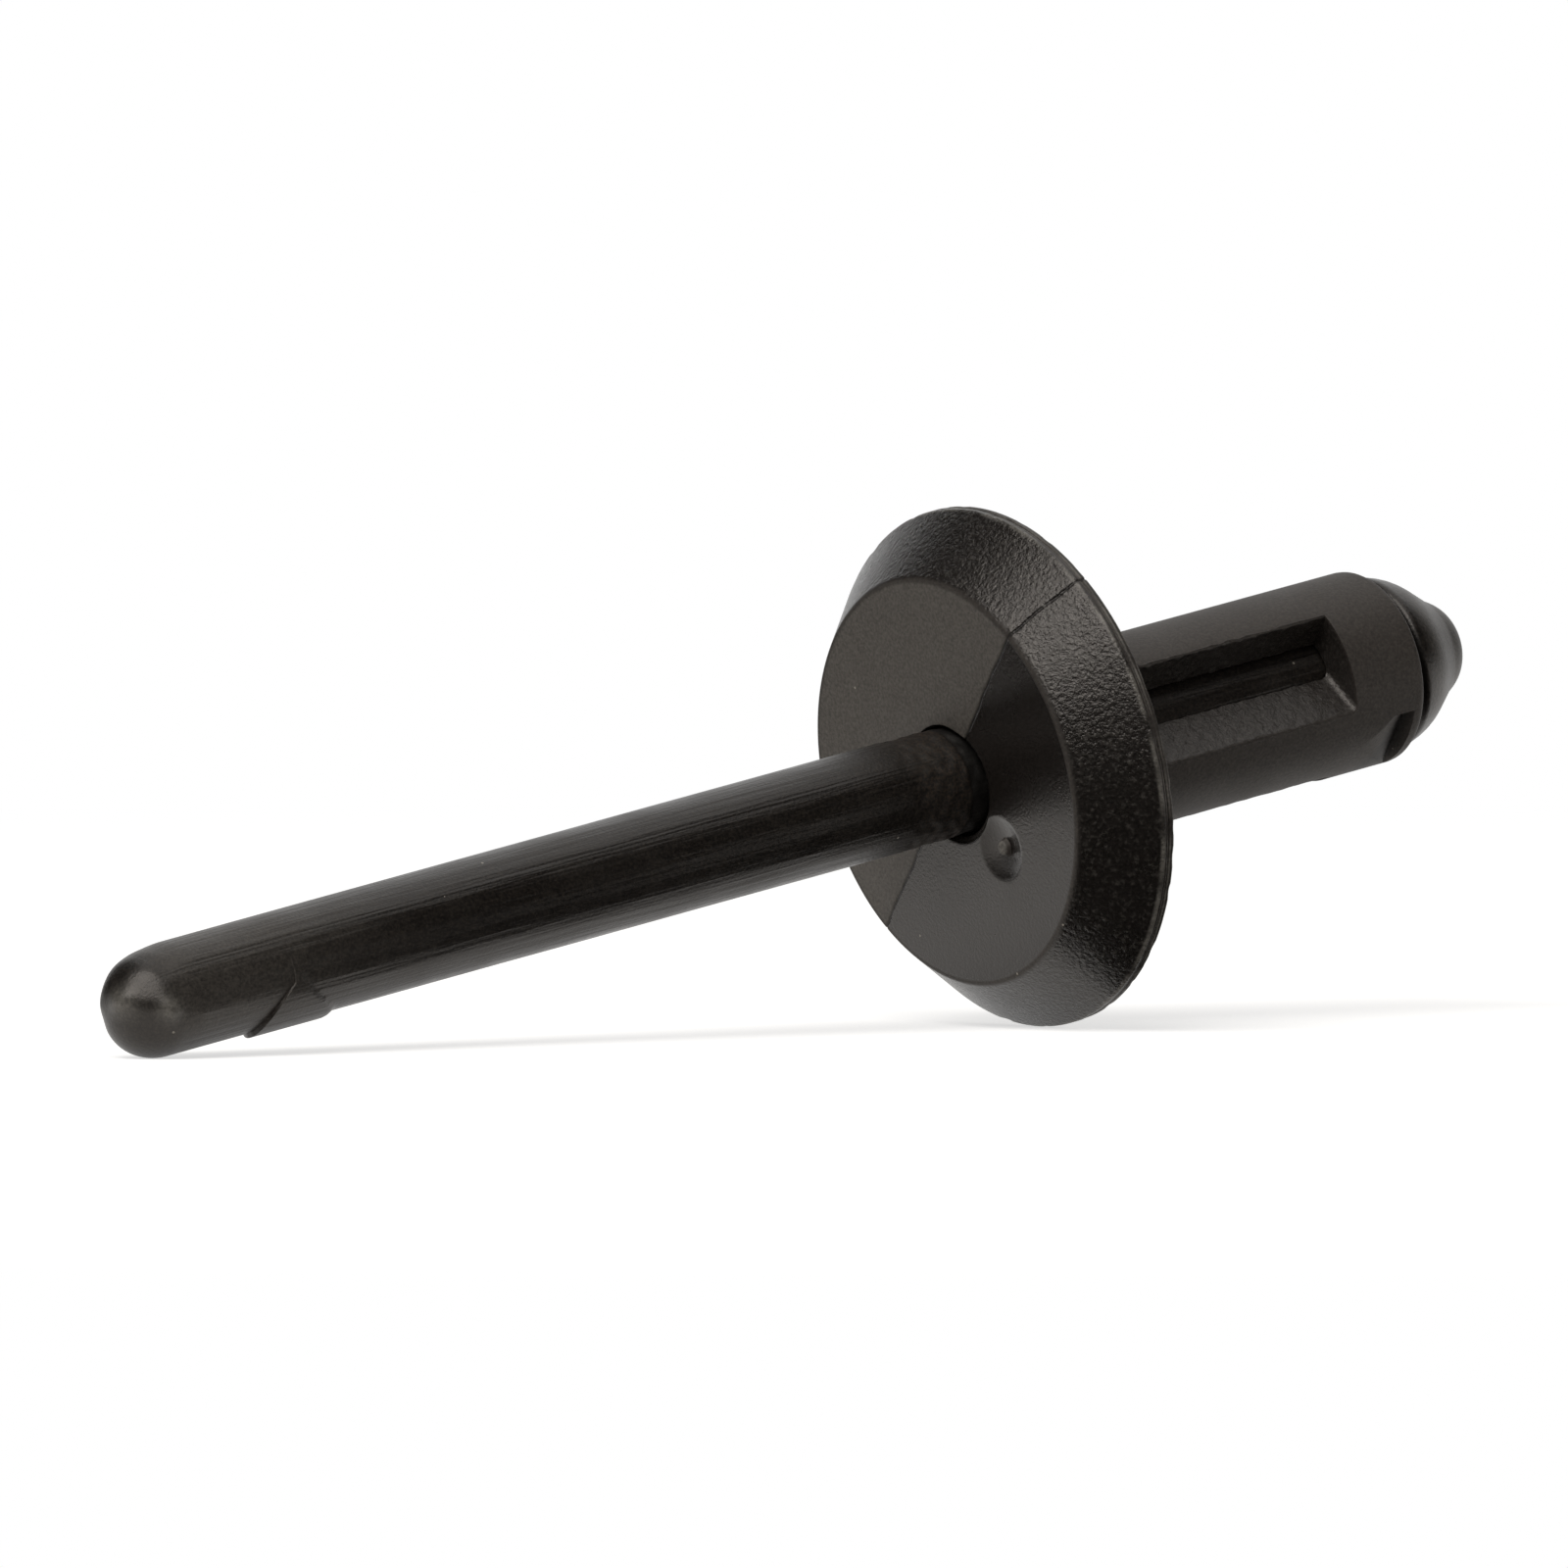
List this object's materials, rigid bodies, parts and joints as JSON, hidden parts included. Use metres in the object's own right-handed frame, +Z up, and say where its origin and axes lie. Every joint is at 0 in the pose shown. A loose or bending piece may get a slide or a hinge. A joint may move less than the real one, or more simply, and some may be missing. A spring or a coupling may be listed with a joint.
{
  "type": "plastic blind rivet",
  "caption": "Black plastic blind rivet with a bevelled round flange, a slotted folding sleeve and a long pull mandrel whose conical head draws the sleeve up behind a panel.",
  "frame": {"origin": "centre of the flange's underside, where the rivet seats on a panel", "axes": "the rivet lies as it comes to rest on its stem end and flange rim: +X runs level towards the blind end, +Z is up, and the rivet's axis rises by about 11 degrees from +X"},
  "size_m": [0.0535, 0.0168, 0.0167],
  "materials": {
    "body_plastic": "moulded nylon, spark-eroded texture on the bevel, plain matt face",
    "mandrel_plastic": "moulded plastic, satin"
  },
  "bodies": {
    "body": {"rivet_body": "body_plastic"},
    "mandrel": {"mandrel": "mandrel_plastic"}
  },
  "joints": [
    {"name": "mandrel_slide", "type": "slide", "parent": "body", "child": "mandrel", "axis": [0.9817, 0, 0.1904], "range_m": [0, 0.025]}
  ]
}
